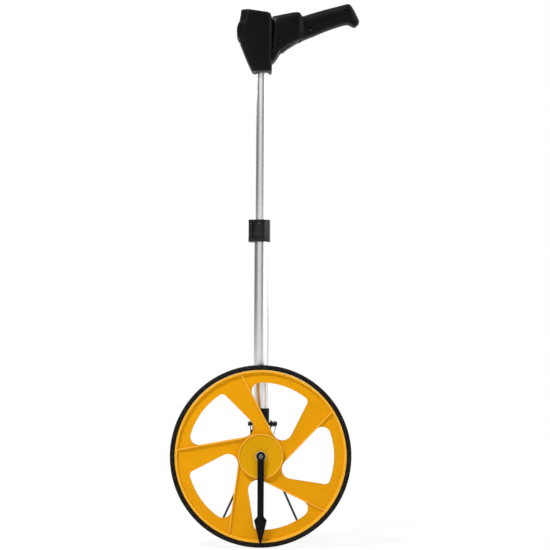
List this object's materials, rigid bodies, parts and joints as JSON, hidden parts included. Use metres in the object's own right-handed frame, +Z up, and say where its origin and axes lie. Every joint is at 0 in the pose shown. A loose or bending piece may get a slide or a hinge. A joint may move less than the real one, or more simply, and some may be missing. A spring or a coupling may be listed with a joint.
{
  "type": "measuring wheel",
  "caption": "Digital distance-measuring wheel: spoked yellow wheel with plumb pointer, telescopic tube mast with lever clamp, folding two-leg stand, display head and pistol handle with trigger",
  "frame": {"origin": "On the ground under the axle, in the middle plane of the wheel, where the tyre rests", "axes": "+Z up the mast, +X to the handle's side in the wheel's plane, +Y from the pointer's side to the mast's side"},
  "size_m": [0.3332, 0.1733, 0.9726],
  "materials": {
    "yellow_plastic": "moulded warm yellow plastic, semi-matte, fine moulding texture",
    "cover_yellow_plastic": "moulded yellow plastic, a little darker and flatter than the wheel",
    "tyre_rubber": "dark grey solid rubber, matt",
    "black_plastic": "moulded black plastic, semi-matte with soft highlights",
    "soft_black_rubber": "soft black rubber, matt",
    "black_coated_steel": "black powder coat on steel",
    "drawn_aluminium": "clear anodised drawn tube with fine lengthwise grain",
    "zinc_plated_steel": "bright zinc plate",
    "white_nylon": "natural nylon",
    "ferrite_magnet": "plastic-bonded ferrite, dark grey",
    "clear_window": "clear polished plastic",
    "lcd_glass": "grey-green liquid crystal panel, unlit",
    "green_circuit_board": "green solder resist",
    "cell_jacket": "plain printed metal jacket",
    "nickel_brass": "nickel-plated brass spring strip",
    "cable_jacket": "soft black cable jacket"
  },
  "bodies": {
    "lower_mast": {"axle": "zinc_plated_steel", "pointer_washer": "white_nylon", "axle_end_screw": "zinc_plated_steel", "axle_nut": "zinc_plated_steel", "axle_washer": "zinc_plated_steel", "fork_bracket": "black_plastic", "socket_screw": "zinc_plated_steel", "sensor_housing": "black_plastic", "sensor_lead": "cable_jacket", "lower_tube": "drawn_aluminium", "stand_pin": "black_coated_steel", "clamp_collar": "black_plastic", "clamp_pin": "zinc_plated_steel", "clamp_adjuster": "zinc_plated_steel"},
    "wheel": {"wheel_centre": "yellow_plastic", "tyre": "tyre_rubber", "hub_cover": "cover_yellow_plastic", "front_bush": "white_nylon", "rear_bush": "white_nylon", "magnet_ring": "ferrite_magnet"},
    "pointer": {"pointer": "black_plastic"},
    "stand": {"stand_yoke": "black_coated_steel", "left_leg": "black_coated_steel", "right_leg": "black_coated_steel", "left_foot": "soft_black_rubber", "right_foot": "soft_black_rubber", "stand_spring": "zinc_plated_steel"},
    "clamp_lever": {"clamp_lever": "black_plastic"},
    "upper_mast": {"upper_tube": "drawn_aluminium", "guide_bush": "white_nylon", "coiled_cable": "cable_jacket", "head_front_shell": "black_plastic", "head_rear_shell": "black_plastic", "display_bezel": "black_plastic", "display_window": "clear_window", "lcd_panel": "lcd_glass", "circuit_board": "green_circuit_board", "front_cell": "cell_jacket", "rear_cell": "cell_jacket", "lower_contact": "nickel_brass", "upper_contact": "nickel_brass", "battery_cover": "black_plastic", "cover_screw": "zinc_plated_steel", "neck_screw": "zinc_plated_steel", "grip_front_shell": "black_plastic", "grip_rear_shell": "black_plastic", "grip_screw_1": "zinc_plated_steel", "grip_screw_2": "zinc_plated_steel", "grip_screw_3": "zinc_plated_steel", "lower_handle_bolt": "zinc_plated_steel", "upper_handle_bolt": "zinc_plated_steel", "trigger_pin": "zinc_plated_steel", "trigger_spring": "zinc_plated_steel", "trigger_switch": "soft_black_rubber", "switch_board": "green_circuit_board", "button_board": "green_circuit_board"},
    "trigger": {"trigger": "black_plastic"},
    "power_button": {"power_button": "soft_black_rubber"},
    "hold_button": {"hold_button": "soft_black_rubber"},
    "reset_button": {"reset_button": "soft_black_rubber"}
  },
  "joints": [
    {"name": "wheel_spin", "type": "hinge", "parent": "lower_mast", "child": "wheel", "pos_m": [0, 0, 0.15915], "axis": [0, 1, 0], "continuous": true},
    {"name": "pointer_swing", "type": "hinge", "parent": "lower_mast", "child": "pointer", "pos_m": [0, 0, 0.15915], "axis": [0, 1, 0], "continuous": true},
    {"name": "stand_fold", "type": "hinge", "parent": "lower_mast", "child": "stand", "pos_m": [0, 0.058, 0.212], "axis": [1, 0, 0], "range_deg": [0, 150], "stiffness_Nm_per_rad": 0.2, "springref_deg": -100.27},
    {"name": "clamp_lever_swing", "type": "hinge", "parent": "lower_mast", "child": "clamp_lever", "pos_m": [-0.0196, 0.03, 0.5596], "axis": [0, 0, -1], "range_deg": [0, 110]},
    {"name": "mast_slide", "type": "slide", "parent": "lower_mast", "child": "upper_mast", "axis": [0, 0, 1], "range_m": [-0.25, 0], "deforming": ["coiled_cable"]},
    {"name": "trigger_pull", "type": "hinge", "parent": "upper_mast", "child": "trigger", "pos_m": [0.061, 0.036, 0.906], "axis": [0, 1, 0], "range_deg": [0, 8], "stiffness_Nm_per_rad": 0.25, "springref_deg": -11.46, "deforming": ["trigger_spring"]},
    {"name": "power_button_press", "type": "slide", "parent": "upper_mast", "child": "power_button", "axis": [0, 0, -1], "range_m": [0, 0.001], "stiffness_N_per_m": 300, "springref_m": -0.002},
    {"name": "hold_button_press", "type": "slide", "parent": "upper_mast", "child": "hold_button", "axis": [0, 0, -1], "range_m": [0, 0.001], "stiffness_N_per_m": 300, "springref_m": -0.002},
    {"name": "reset_button_press", "type": "slide", "parent": "upper_mast", "child": "reset_button", "axis": [0, 0, -1], "range_m": [0, 0.001], "stiffness_N_per_m": 300, "springref_m": -0.002}
  ]
}
